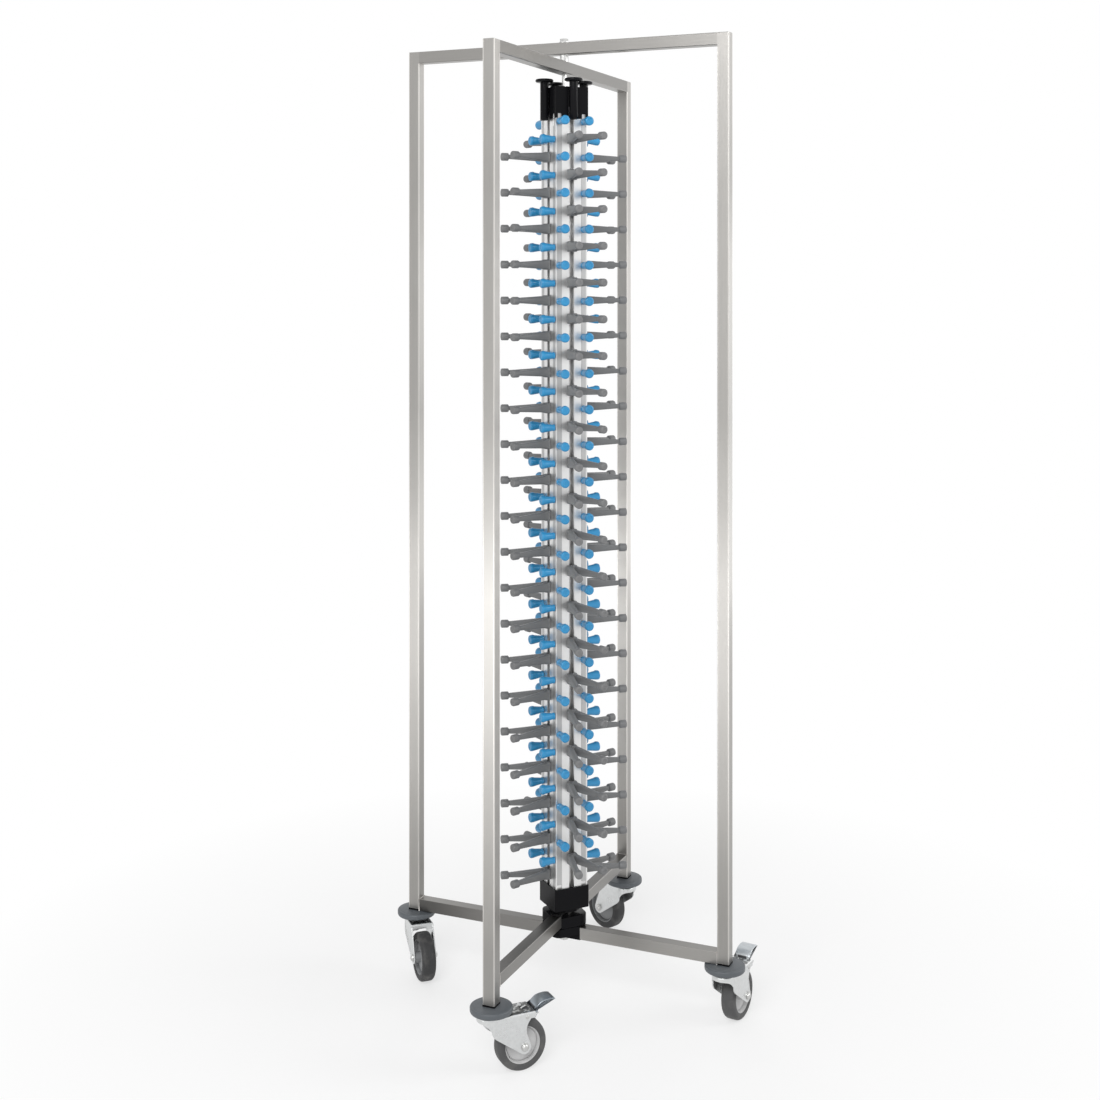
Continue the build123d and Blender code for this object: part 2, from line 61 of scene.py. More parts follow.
# Headings about the fold axis, in degrees
stack_headings = {"right": 0, "back": 90, "left": 180, "front": 270}
frame_turn = -3.65
frame_headings = {"outer": 135 + frame_turn, "inner": 45 + frame_turn}
frame_castors = {"outer": {"rear_left": 0, "front_right": 180},
                 "inner": {"front_left": 180, "rear_right": 0}}
castor_headings = {corner: frame_headings[frame_name] + turn
                   for frame_name, corners in frame_castors.items()
                   for corner, turn in corners.items()}

# Which way each castor trails and each fork's tips point, and from where an edge is sharp
castor_facings = {"rear_left": -94.7, "front_right": 34.0, "front_left": -0.4,
                  "rear_right": 106.0}
tip_turn = 13.5
sharp_edge = 40

# The levels of each stack, and sizes in millimetres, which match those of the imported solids
level_count = 21
level_pitch = 74.6
band_place = 27.6
post_radius = 350.5
bar_half = 12.5
tube_corner = 2.2
weld_place = 337.6
hub_half = 38.9
hub_round = 21.0
bush_clear = 9.5
cheek_gap = 0.1
bridge_lap = 0.3
finger_reach = 67.0
mast_face = 34.95
trail = 59.0
wheel_radius = 50.0
tyre_half = 14.9
crown_top = 114.65
crown_foot = 104.8
crown_nose = 28.4
crown_half = 24.45
crown_wall = 2.3
crown_edge = 3.2

# Painted light on the tubes, in metres: how far an edge between two painted tones spreads to
# either side, where a tube's painted corner highlight starts and is full, and the height of the
# painted dark band of shade on the posts
painted_tone_fade = 0.2 * MM
painted_corner_highlight = (22.4 * MM, 23.2 * MM)
painted_shade_band = 1.22


def heights_of(node):
    """The lowest and highest points of a CAD node, in millimetres."""
    return [corner[2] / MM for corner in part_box(node)]


# Outlines
def ring(count, power=2.0):
    """Points round a unit superellipse: cosine and sine, each raised to 2 / power with its
    sign kept. A power of 2 is a circle, and a high one is nearly a square."""
    angle = np.linspace(0, 2 * np.pi, count, endpoint=False)
    across, up = np.cos(angle), np.sin(angle)
    return np.stack([np.sign(across) * np.abs(across) ** (2 / power),
                     np.sign(up) * np.abs(up) ** (2 / power)], axis=1)


def arc(middle, size, start, end, steps):
    """Points from one angle to another, in degrees: middle + size * (cos a, sin a)."""
    angle = np.radians(np.linspace(start, end, steps))
    return (middle + np.stack([np.cos(angle), np.sin(angle)], axis=1) * size).tolist()


def mirror(outline):
    """The mirror image in height of an outline, listed the other way round."""
    return [(radius, -height) for radius, height in outline[::-1]]


def belt(circles, count):
    """The outline of a belt pulled round circles of (x, y, radius): in each direction, the
    point that reaches furthest, which is centre + radius * direction on one of the circles."""
    circles = np.array(circles, float)
    direction = ring(count)
    reach = direction @ circles[:, :2].T + circles[:, 2]
    furthest = circles[reach.argmax(axis=1)]
    return furthest[:, :2] + furthest[:, 2:] * direction


def rounded(corners, steps=5):
    """A closed outline through corners of (x, y, radius). Each corner is the curve
    (1 - t)^2 start + 2 t (1 - t) corner + t^2 end, with its ends a radius from the corner."""
    corners = np.array(corners, float)
    here = corners[:, :2]
    back = np.roll(here, 1, axis=0) - here
    ahead = np.roll(here, -1, axis=0) - here
    radius = corners[:, 2:]
    start = here + back / np.linalg.norm(back, axis=1)[:, None] * radius
    end = here + ahead / np.linalg.norm(ahead, axis=1)[:, None] * radius
    part = np.linspace(0, 1, steps)[None, :, None]
    curve = ((1 - part) ** 2 * start[:, None] + 2 * part * (1 - part) * here[:, None]
             + part ** 2 * end[:, None])
    return curve.reshape(-1, 2)


def rectangle(low, high, radius, steps=3):
    """A rounded rectangle between a low corner and a high one, listed anticlockwise."""
    (left, near), (right, far) = low, high
    return rounded([(left, near, radius), (right, near, radius), (right, far, radius),
                    (left, far, radius)], steps)


def beyond(outline, normal, distance):
    """The part of a convex outline that lies further along a normal n than a distance d. An
    edge that crosses is cut at start + (end - start) * (d - start . n) / ((end - start) . n)."""
    past = outline @ np.array(normal) - distance
    after, past_after = np.roll(outline, -1, axis=0), np.roll(past, -1)
    crosses = past * past_after < 0
    share = (past / (past - past_after + (past == past_after)))[crosses, None]
    cuts = outline[crosses] + share * (after - outline)[crosses]
    kept = np.concatenate([outline[past > 0], cuts])
    spoke = kept - kept.mean(axis=0)
    return kept[np.argsort(np.arctan2(spoke[:, 1], spoke[:, 0]))]


def inset(outline, amount):
    """An outline, listed anticlockwise, with every point moved inwards along its normal."""
    along = np.roll(outline, -1, axis=0) - np.roll(outline, 1, axis=0)
    along /= np.linalg.norm(along, axis=1)[:, None]
    return outline + amount * np.stack([-along[:, 1], along[:, 0]], axis=1)


# Surfaces
def cells(rows, columns, looped=False):
    """The quads between rings of points in order: cell (i, j) joins rings i and i + 1 at
    places j and j + 1. Looped rings go on from the last to the first."""
    row = np.arange(rows if looped else rows - 1)[:, None]
    column = np.arange(columns)[None]
    ahead, after = (column + 1) % columns, (row + 1) % rows
    quads = np.stack([row * columns + column, row * columns + ahead,
                      after * columns + ahead, after * columns + column], axis=-1)
    return quads.reshape(-1, 4)


def make_object(name, points, faces, material):
    """A mesh object in the scene, with one material."""
    mesh = bpy.data.meshes.new(name)
    mesh.from_pydata(points, [], faces)
    mesh.update()
    mesh.materials.append(material)
    made = bpy.data.objects.new(name, mesh)
    bpy.context.scene.collection.objects.link(made)
    return made


class Shell:
    """Closed surfaces gathered into one mesh. Sizes are given in millimetres about a place of
    its own, and the finished piece is in metres in the shared frame."""

    def __init__(self):
        self.points = []
        self.faces = []
        self.count = 0

    def add(self, points, faces):
        """Take in points and groups of faces, each group one array of equal faces."""
        self.points.append(np.asarray(points, float))
        self.faces += [np.asarray(group, int) + self.count for group in faces]
        self.count += len(points)

    def loft(self, rings, looped=False):
        """Join rings of equal length in order. An open loft is closed by a face at each end."""
        rows, columns = rings.shape[:2]
        faces = [cells(rows, columns, looped)]
        if not looped:
            last = (rows - 1) * columns
            faces += [np.arange(columns)[::-1][None], np.arange(last, last + columns)[None]]
        self.add(rings.reshape(-1, 3), faces)

    def lathe(self, outline, count, centre=(0, 0, 0), along="z", looped=False):
        """Turn an outline of (radius, height) about an axis: radius * cos a, radius * sin a,
        height. An outline that rises on its outer side has its faces outwards."""
        outline = np.array(outline, float)
        turn = ring(count)
        across = outline[:, :1] * turn[:, 0]
        up = outline[:, :1] * turn[:, 1]
        height = np.repeat(outline[:, 1:], count, axis=1)
        order = {"z": (across, up, height), "y": (up, height, across), "x": (height, across, up)}
        self.loft(np.stack(order[along], axis=-1) + np.array(centre, float), looped)

    def slab(self, outline, low, high, bevel, along="z"):
        """An outline carried from one height to another, with both rims turned in by a
        quarter round: inset bevel * (1 - cos a) at bevel * (1 - sin a) from the end."""
        angle = np.linspace(0, np.pi / 2, 4)
        sine, cosine = bevel * (1 - np.sin(angle)), bevel * (1 - np.cos(angle))
        heights = np.concatenate([low + cosine, high - sine])
        flat = np.stack([inset(outline, amount) for amount in (*sine, *cosine)])
        level = np.repeat(heights[:, None], flat.shape[1], axis=1)
        if along == "z":
            self.loft(np.stack([flat[..., 0], flat[..., 1], level], axis=-1))
        else:
            self.loft(np.stack([flat[..., 0], level, flat[..., 1]], axis=-1)[:, ::-1])

    def carry(self, path, section):
        """Carry a section (u, v), or one for each point, along a path: path + u * side
        + v * rise, where side is level and across the path, and rise is square to both."""
        along = np.gradient(path, axis=0)
        along /= np.linalg.norm(along, axis=1)[:, None]
        side = np.cross(along, (0, 0, 1.0))
        side /= np.linalg.norm(side, axis=1)[:, None]
        rise = np.cross(side, along)
        section = np.broadcast_to(section, (len(path),) + np.shape(section)[-2:])
        rings = path[:, None] + section[..., :1] * side[:, None] + section[..., 1:] * rise[:, None]
        self.loft(rings[:, ::-1])

    def copies(self, offsets):
        """A shell with all of this one's surfaces repeated at each offset."""
        points = np.concatenate(self.points)
        many = Shell()
        for offset in np.asarray(offsets, float):
            many.add(points + offset, self.faces)
        return many

    def mirrored(self):
        """Add this shell's own surfaces again, mirrored in y, with their faces turned round."""
        points = np.concatenate(self.points) * (1, -1, 1)
        self.add(points, [group[:, ::-1] for group in self.faces])
        return self

    def placed(self, heading, place=(0, 0, 0)):
        """Turn every point about the upright axis by a heading in degrees, then move it."""
        angle = math.radians(heading)
        matrix = np.array([[math.cos(angle), math.sin(angle), 0],
                           [-math.sin(angle), math.cos(angle), 0], [0, 0, 1]])
        self.points = [points @ matrix + np.array(place, float) for points in self.points]
        return self

    def join(self, other):
        """Take in another shell's surfaces."""
        self.add(np.concatenate(other.points), other.faces)
        return self

    def piece(self, name, body, slot, finish_name, stands_for=()):
        """Make the mesh object about the fold axis with one of the finishes, and hang it on
        its body."""
        points = np.concatenate(self.points) * MM
        points[:, :2] += axis_place
        faces = [face for group in self.faces for face in group.tolist()]
        made = make_object(name, points.tolist(), faces, finish_for(finish_name))
        polygons = made.data.polygons
        polygons.foreach_set("use_smooth", np.ones(len(polygons), bool))
        made.data.set_sharp_from_angle(angle=math.radians(sharp_edge))
        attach(made, body)
        if stands_for:
            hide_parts(*stands_for)


# Shader values
class Value:
    """An output of a shader node. Arithmetic on it adds the Math nodes that work it out."""

    def __init__(self, finish, socket):
        self.finish = finish
        self.socket = socket

    def __add__(self, other):
        return self.finish.math("ADD", self, other)

    def __radd__(self, other):
        return self.finish.math("ADD", other, self)

    def __sub__(self, other):
        return self.finish.math("SUBTRACT", self, other)

    def __rsub__(self, other):
        return self.finish.math("SUBTRACT", other, self)

    def __mul__(self, other):
        return self.finish.math("MULTIPLY", self, other)

    def __abs__(self):
        return self.finish.math("ABSOLUTE", self)

    def to(self, low, high):
        """How far this value is on its way from low to high, kept between 0 and 1."""
        return self.finish.math("DIVIDE", self - low, high - low, clamp=True)


class Finish:
    """One procedural material and the nodes that work out its looks."""

    def __init__(self, name, colour, roughness, metallic=0.0, coat=0.0, specular=0.5):
        self.material = bpy.data.materials.new(name)
        self.material.use_nodes = True
        self.tree = self.material.node_tree
        self.shader = self.tree.nodes["Principled BSDF"]
        self.colour = (*colour, 1.0)
        settings = {"Base Color": self.colour, "Roughness": roughness, "Metallic": metallic,
                    "Coat Weight": coat, "Specular IOR Level": specular}
        for socket, value in settings.items():
            self.set(socket, value)
        self.place = self.node("ShaderNodeTexCoord", output="Object")
        parts = self.node("ShaderNodeSeparateXYZ", Vector=self.place)
        self.x, self.y, self.z = (Value(self, socket) for socket in parts.socket.node.outputs)

    def node(self, kind, settings=(), output=0, **inputs):
        """Add a node with settings and socket values or links, and give one output."""
        node = self.tree.nodes.new(kind)
        for name, setting in dict(settings).items():
            setattr(node, name, setting)
        sockets = {socket.identifier: socket for socket in node.inputs}
        for name, value in inputs.items():
            self.feed(sockets[name], value)
        return Value(self, node.outputs[output])

    def feed(self, socket, value):
        """Link a value to a socket, or set the socket to a plain number or colour."""
        if isinstance(value, Value):
            self.tree.links.new(value.socket, socket)
        else:
            socket.default_value = value

    def math(self, operation, *values, clamp=False):
        """A Math node of one operation on values or numbers."""
        return self.node("ShaderNodeMath", {"operation": operation, "use_clamp": clamp},
                         **dict(zip(("Value", "Value_001"), values)))

    def noise(self, scale, detail=2.0, rough=0.5, place=None):
        """Soft noise between 0 and 1 about a place, with this many features to the metre."""
        return self.node("ShaderNodeTexNoise", Vector=place or self.place, Scale=scale,
                         Detail=detail, Roughness=rough)

    def shade(self, factor):
        """The material's own colour scaled by a value."""
        return self.node("ShaderNodeVectorMath", {"operation": "SCALE"},
                         Vector=self.colour[:3], Scale=factor)

    def set(self, name, value):
        """Feed or set one of the shader's sockets."""
        self.feed(self.shader.inputs[name], value)

    def bump(self, height, distance):
        """Raise the surface by a value, with the depth in metres that a value of 1 stands for."""
        self.set("Normal", self.node("ShaderNodeBump", Height=height, Distance=distance,
                                     Strength=1.0))


# Materials
def draw_lines(finish, length, fine, depth):
    """Fine lines along one direction: noise stretched by moving a place's scale from fine
    across the length to a fiftieth of it along the length."""
    along = finish.x * length[0] + finish.y * length[1] + finish.z * length[2]
    back = along * (fine * 0.98)
    across = finish.node("ShaderNodeCombineXYZ", X=finish.x * fine - back * length[0],
                         Y=finish.y * fine - back * length[1],
                         Z=finish.z * fine - back * length[2])
    lines = finish.noise(1.0, 3.0, 0.6, place=across)
    finish.bump(lines, depth)
    return lines


def frame_places(finish, frame_name):
    """How far a point is from the fold axis along a frame, towards the rear, and across it."""
    angle = math.radians(frame_headings[frame_name])
    cosine, sine = math.cos(angle), math.sin(angle)
    x, y = finish.x - axis_place[0], finish.y - axis_place[1]
    return x * cosine + y * sine, abs(y * cosine - x * sine)


def painted_post_light(finish, frame_name):
    """Painted light and shade on the posts of one frame. With u and v the distances from a post's
    middle along the frame and across it, the outer frame's faces towards the camera are where v > u
    and the inner frame's where u > v, and these get painted light while the faces beside them get
    painted shade, both changing with height. The tube's rounded corners are where u + v nears the
    tube's width, and each shows as a thin painted highlight, which stops on the inner side where
    the top bar meets the post."""
    along, v = frame_places(finish, frame_name)
    reach, z = abs(along), finish.z
    u = abs(reach - post_radius * MM)
    facing = (v - u) if frame_name == "outer" else (u - v)
    # painted light on the faces towards the camera: lighter below about 1 m, darker near the foot
    # and in the painted dark band
    front = (0.86 - abs(z - painted_shade_band).to(0.30, 0.0) * 0.14 + z.to(1.05, 0.70) * 0.30
             - z.to(0.45, 0.22) * 0.20)
    # painted shade on the faces beside them: lighter near the top, darker in the painted dark band
    side = 0.92 + z.to(1.60, 1.90) * 0.40 - abs(z - painted_shade_band).to(0.34, 0.0) * 0.34
    bar_foot = heights_of(f"{frame_name}_top_bar")[0] * MM
    joint = reach.to(post_radius * MM, (post_radius - 1) * MM) * z.to(bar_foot - MM, bar_foot)
    # painted highlight along each rounded corner
    corner = (u + v).to(*painted_corner_highlight) * (1 - joint)
    return (side + facing.to(-painted_tone_fade, painted_tone_fade) * (front - side)) * (1 + corner * 0.75)


def painted_low_bar_shade(finish, frame_name):
    """Painted light and shade on a bottom bar: painted shade on its top, which on the outer frame's
    bar is darkest near the hub, with sides painted darker towards the rear."""
    along = frame_places(finish, frame_name)[0]
    bar_top = heights_of(f"{frame_name}_bottom_bar")[1] * MM
    # painted shade on the bar's top face
    painted_top_face = finish.z.to(bar_top - 3 * painted_tone_fade, bar_top - painted_tone_fade)
    if frame_name == "outer":
        side = 1.00 - along.to(-0.02, 0.02) * 0.36 - along.to(0.17, 0.30) * 0.32
        top = 0.46 + abs(along).to(0.06, 0.30) * 0.34
    else:
        side, top = 0.78, 0.38
    return side + painted_top_face * (top - side)


def stainless(name, frame_name, part):
    """Satin stainless tube, ground along its length, with faint clouds, and painted light and
    shade:
    brightest at mid height and darker towards the foot and the top. The part is a post, a top bar
    or a low bar of the frame; a top bar is painted darker than the posts, and beyond the posts'
    inner faces a bar gets their painted light."""
    finish = Finish(name, rack_colours().stainless, 0.30, metallic=1.0)
    tone = painted_post_light(finish, frame_name)
    length = (0.0, 0.0, 1.0)
    if part != "post":
        angle = math.radians(frame_headings[frame_name])
        length = (math.cos(angle), math.sin(angle), 0.0)
        # a top bar is a darker painted copy of the posts' steel, a low bar gets its painted shade
        bar = painted_low_bar_shade(finish, frame_name) if part == "low" else 0.74
        # beyond a post's inner face the bar takes the post's painted light
        past_face = abs(frame_places(finish, frame_name)[0]) - (post_radius - bar_half) * MM
        tone = bar + past_face.to(-painted_tone_fade, painted_tone_fade) * (tone - bar)
    lines = draw_lines(finish, length, 900.0, 0.00004)
    cloud = finish.noise(5.0, 4.0)
    # painted shade: brightest at 0.9 m, darker towards the foot and towards the top
    shade = finish.z.to(0.90, 0.25) * 0.34 + finish.z.to(0.90, 1.70) * 0.20 - 0.12
    finish.set("Roughness", 0.24 + lines * 0.10 + cloud * 0.08)
    finish.set("Base Color", finish.shade((0.90 + lines * 0.12 + cloud * 0.06 - shade) * tone))
    return finish.material


def drawn_aluminium(name, colour, roughness, fine):
    """Extruded aluminium with die lines up its length and a slightly uneven anodised bloom."""
    finish = Finish(name, colour, roughness, metallic=1.0)
    lines = draw_lines(finish, (0.0, 0.0, 1.0), fine, 0.00003)
    bloom = finish.noise(9.0, 3.0)
    finish.set("Roughness", roughness - 0.04 + lines * 0.06 + bloom * 0.06)
    finish.set("Base Color", finish.shade(0.92 + lines * 0.10 + bloom * 0.04))
    return finish.material


def moulded(name, colour, roughness, grain, depth, coat=0.0, specular=0.5):
    """Moulded plastic: a fine spark-eroded grain and broad flow marks."""
    finish = Finish(name, colour, roughness, coat=coat, specular=specular)
    pits = finish.noise(grain, 2.0, 0.6)
    flow = finish.noise(22.0, 3.0)
    finish.bump(pits, depth)
    finish.set("Roughness", roughness - 0.05 + pits * 0.06 + flow * 0.06)
    finish.set("Base Color", finish.shade(0.88 + flow * 0.24))
    return finish.material


def zinc_plate(name, colour, roughness, crown=None):
    """Zinc plating: crystal patches and soft clouds. A crown's level top, at a height in
    millimetres, is painted dark as a painted reflection of the dark tube above it, with a few
    painted glints."""
    finish = Finish(name, colour, roughness, metallic=1.0)
    patches = finish.node("ShaderNodeTexVoronoi", Vector=finish.place, Scale=160.0)
    cloud = finish.noise(60.0, 4.0)
    finish.bump(cloud, 0.00006)
    finish.set("Roughness", roughness - 0.06 + cloud * 0.14)
    tone = 0.90 + patches * 0.10 + cloud * 0.06
    if crown is not None:
        # painted reflection: the crown's top is painted dark, with painted glints
        painted_top_face = finish.z.to((crown - 0.3) * MM, (crown - 0.1) * MM)
        painted_glints = finish.noise(130.0, 1.0).to(0.52, 0.62)
        tone = tone * (1 - painted_top_face * (0.66 - painted_glints * 0.85))
    finish.set("Base Color", finish.shade(tone))
    return finish.material


def tread_rubber(name, colour):
    """Wheel rubber, dull, with fine scuffs and a little dust."""
    finish = Finish(name, colour, 0.62)
    scuffs = finish.noise(420.0, 5.0, 0.7)
    dust = finish.noise(40.0, 3.0).to(0.52, 0.75)
    finish.bump(scuffs, 0.00012)
    finish.set("Roughness", 0.52 + scuffs * 0.20)
    dusty = finish.node("ShaderNodeMix", {"data_type": "RGBA"}, output=2,
                        Factor_Float=dust * 0.35, A_Color=finish.colour,
                        B_Color=(0.16, 0.155, 0.145, 1.0))
    finish.set("Base Color", dusty)
    return finish.material


def floor_paint(name):
    """A pale floor that turns to plain white light away from the object, so that the horizon
    doesn't show, and that keeps the shadow near it."""
    finish = Finish(name, (0.86, 0.86, 0.86), 0.8)
    finish.set("Base Color", finish.shade(0.99 + finish.noise(60.0, 3.0) * 0.02))
    radius = finish.node("ShaderNodeVectorMath", {"operation": "LENGTH"}, output=1,
                         Vector=finish.place)
    blend = finish.node("ShaderNodeMixShader", Fac=0.62 + radius.to(0.55, 1.4) * 0.38)
    shaders = blend.socket.node.inputs
    finish.tree.links.new(finish.shader.outputs[0], shaders[1])
    finish.feed(shaders[2], finish.node("ShaderNodeEmission", Strength=1.0))
    finish.feed(finish.tree.nodes["Material Output"].inputs["Surface"], blend)
    return finish.material


finishes = {}


def finish_for(name):
    """The material of one finish, made the first time that it is asked for."""
    colours = rack_colours()
    makers = {f"{frame_name}_{part}_steel": (stainless, frame_name, part)
              for frame_name in frame_headings for part in ("post", "bar", "low")}
    makers |= {
        "mast_metal": (drawn_aluminium, colours.mast, 0.34, 1400.0),
        "strip_metal": (drawn_aluminium, colours.strip, 0.40, 1000.0),
        "cap_plastic": (moulded, colours.black, 0.22, 900.0, 0.00001, 0.0, 0.07),
        "handle_plastic": (moulded, colours.black, 0.20, 1200.0, 0.00001, 0.0, 0.09),
        "hub_plastic": (moulded, colours.black, 0.15, 900.0, 0.00001, 0.0, 0.06),
        "finger_plastic": (moulded, colours.finger, 0.30, 1500.0, 0.00002, 0.15),
        "fork_plastic": (moulded, colours.fork, 0.42, 1300.0, 0.00004),
        "pad_rubber": (moulded, colours.pad, 0.50, 900.0, 0.00005),
        "bumper_plastic": (moulded, colours.bumper, 0.46, 1000.0, 0.00005),
        "wheel_plastic": (moulded, colours.wheel, 0.40, 1100.0, 0.00004),
        # The rear wheel centres and tyres are painted darker: painted shade, and for the tyres also
        # a darker rubber.
        "dark_wheel": (moulded, colours.dark_wheel, 0.40, 1100.0, 0.00004),
        "tread": (tread_rubber, colours.tread),
        "dark_tread": (tread_rubber, colours.dark_tread),
        # the forks' zinc has a painted reflection and painted glints on the crown's top
        "zinc": (zinc_plate, colours.zinc, 0.28, crown_top),
        "bolt_steel": (zinc_plate, (0.55, 0.55, 0.54), 0.32),
        # a dark plate that stands for the shade in a slot or gap: painted shade
        "dark_plate": (zinc_plate, (0.10, 0.10, 0.105), 0.38),
        # The two brake pedals are one zinc, in two colours that are painted reflections: the left
        # darker, the right lighter.
        "front_left_pedal_metal": (zinc_plate, colours.pedal, 0.34),
        "front_right_pedal_metal": (zinc_plate, colours.lighter_painted_pedal, 0.34),
        "weld": (zinc_plate, (0.50, 0.48, 0.46), 0.36),
    }
    if name not in finishes:
        maker, *settings = makers[name]
        finishes[name] = maker(name, *settings)
    return finishes[name]


def paint(node, finish_name):
    """Give a CAD node's object one of the finishes."""
    painted = bpy.data.objects[node]
    if not painted.material_slots:
        painted.data.materials.append(None)
    for slot in painted.material_slots:
        slot.material = finish_for(finish_name)


# Properties that a user would change
def colour_setting(name, what, default):
    """A colour property with three channels."""
    return bpy.props.FloatVectorProperty(name=name, description=f"Colour of the {what}",
                                         default=default, size=3, subtype="COLOR", min=0.0,
                                         max=1.0)


class RackColours(bpy.types.PropertyGroup):
    """Colours of the rack's finishes."""
    stainless: colour_setting("Stainless", "frame tubes", (0.425, 0.413, 0.395))
    mast: colour_setting("Mast", "extruded mast", (0.78, 0.78, 0.775))
    strip: colour_setting("Strips", "lift strips", (0.50, 0.50, 0.50))
    black: colour_setting("Black", "cap, shoe, hub and handles", (0.006, 0.006, 0.007))
    finger: colour_setting("Fingers", "upper rests", (0.024, 0.25, 0.50))
    fork: colour_setting("Forks", "lower rests", (0.145, 0.148, 0.150))
    pad: colour_setting("Pads", "lower rests' tips", (0.155, 0.157, 0.16))
    bumper: colour_setting("Bumpers", "castor discs", (0.085, 0.095, 0.105))
    # The two pedals are one zinc; these colours are painted reflections, the left darker and the
    # right lighter.
    pedal: colour_setting("Left pedal", "front left brake pedal", (0.32, 0.355, 0.39))
    lighter_painted_pedal: colour_setting("Right pedal", "front right brake pedal", (0.54, 0.57, 0.59))
    zinc: colour_setting("Zinc", "castor forks", (0.66, 0.67, 0.67))
    tread: colour_setting("Tread", "front tyres", (0.060, 0.060, 0.061))
    # The rear colours are darker: painted shade, and for the tyres also a darker rubber.
    dark_tread: colour_setting("Rear tread", "rear tyres", (0.022, 0.022, 0.023))
    wheel: colour_setting("Wheel centres", "front wheel centres", (0.50, 0.50, 0.50))
    dark_wheel: colour_setting("Rear centres", "rear wheel centres", (0.22, 0.225, 0.23))


def length_setting(name, description, default, low, high):
    """A length property in metres."""
    return bpy.props.FloatProperty(name=name, description=description, default=default,
                                   min=low, max=high, unit="LENGTH")


class RackSizes(bpy.types.PropertyGroup):
    """Sizes of the rack's dressed pieces, in metres."""
    finger_radius: length_setting("Finger radius", "Radius of each round upper rest",
                                  0.0096, 0.004, 0.012)
    finger_end_round: length_setting("Finger end round", "Rounding at each finger's end",
                                     0.0028, 0.0005, 0.008)
    knob_round: length_setting("Knob rim", "Radius of the rim of each handle's knob",
                               0.003, 0.0005, 0.0035)
    tread_round: length_setting("Tread shoulder", "Radius of the tyres' shoulders",
                                0.0072, 0.001, 0.01)
    weld_radius: length_setting("Weld bead", "Radius of the beads round the bottom bars",
                                0.0012, 0.0004, 0.003)


def rack_colours():
    """The colour settings."""
    return bpy.context.scene.rack_colours


def rack_sizes():
    """The size settings."""
    return bpy.context.scene.rack_sizes


def post_place(corner):
    """The place of a castor's swivel axis in millimetres from the fold axis."""
    heading = math.radians(castor_headings[corner])
    return (post_radius * math.cos(heading), post_radius * math.sin(heading), 0.0)


# Frames, hub and mast
def weld_bead(bar):
    """A rippled bead round a bar, where it meets its post. Each place on the bar's rounded
    outline carries a circle of radius * (1 + 0.16 sin(2 pi i / 3.2)), square to the outline."""
    count, circle = 96, ring(10)
    corner = bar_half - tube_corner
    outline = belt([(a, b, tube_corner) for a in (corner, -corner) for b in (corner, -corner)],
                   count)
    outward = outline / np.linalg.norm(outline, axis=1)[:, None]
    radius = rack_sizes().weld_radius / MM * (1 + 0.16 * np.sin(np.arange(count) * 2 * np.pi / 3.2))
    section = circle[None] * radius[:, None, None]
    rings = np.concatenate([weld_place + section[..., :1],
                            outline[:, None] + section[..., 1:] * outward[:, None]], axis=-1)
    bead = Shell()
    bead.loft(rings + (0.0, 0.0, sum(heights_of(bar)) / 2), looped=True)
    return bead


class RACK_OT_frames(bpy.types.Operator):
    """Finish the two tube frames and bead the joints of their bottom bars"""
    bl_idname = "rack.frames"
    bl_label = "Frames"

    def execute(self, context):
        for frame_name, heading in frame_headings.items():
            for end in ("rear", "front"):
                paint(f"{frame_name}_post_{end}", f"{frame_name}_post_steel")
            paint(f"{frame_name}_top_bar", f"{frame_name}_bar_steel")
            paint(f"{frame_name}_bottom_bar", f"{frame_name}_low_steel")
            for end in (0, 180):
                bead = weld_bead(f"{frame_name}_bottom_bar").placed(heading + end)
                bead.piece(f"{frame_name}_weld_{end}", f"{frame_name}_frame", "stainless",
                           "weld")
        return {"FINISHED"}


def hub_cover(node, bar, heading):
    """One half of the hub with rounded corners: a cheek on each side of its bar, and a bridge
    over or under the bar on each side of the bush."""
    low, high = heights_of(node)
    bar_low, bar_high = heights_of(bar)
    outline = rectangle((-hub_half, -hub_half), (hub_half, hub_half), hub_round, 8)
    angle = math.radians(heading)
    along = np.array([math.cos(angle), math.sin(angle)])
    across = np.array([-along[1], along[0]])
    bridge_low, bridge_high = (bar_high, high) if low < bar_low else (low, bar_low)
    cover = Shell()
    for sign in (1, -1):
        cover.slab(beyond(outline, sign * across, bar_half + cheek_gap), low, high, 1.6)
        bridge = beyond(outline, sign * along, bush_clear)
        for side in (1, -1):
            bridge = beyond(bridge, side * across, -bar_half - bridge_lap)
        cover.slab(bridge, bridge_low + cheek_gap, bridge_high - cheek_gap, 0.4)
    return cover


class RACK_OT_pivots(bpy.types.Operator):
    """Finish the pivot bolts, bushes and washer, and round the two halves of the hub"""
    bl_idname = "rack.pivots"
    bl_label = "Pivots"

    def execute(self, context):
        for node in ("top_pivot_bolt", "bottom_pivot_bolt", "top_bush", "bottom_bush",
                     "thrust_washer"):
            paint(node, "bolt_steel")
        for node, frame_name in (("hub_block", "outer"), ("hub_saddle", "inner")):
            cover = hub_cover(node, f"{frame_name}_bottom_bar", frame_headings[frame_name])
            cover.piece(f"{node}_cover", f"{frame_name}_frame", "black_plastic",
                        "hub_plastic", (node,))
        return {"FINISHED"}


class RACK_OT_mast(bpy.types.Operator):
    """Finish the mast with its cap, its shoe and the lift strips"""
    bl_idname = "rack.mast"
    bl_label = "Mast"

    def execute(self, context):
        paint("mast", "mast_metal")
        paint("top_cap", "cap_plastic")
        paint("base_shoe", "cap_plastic")
        for side in stack_headings:
            paint(f"lift_frame_{side}", "strip_metal")
        return {"FINISHED"}


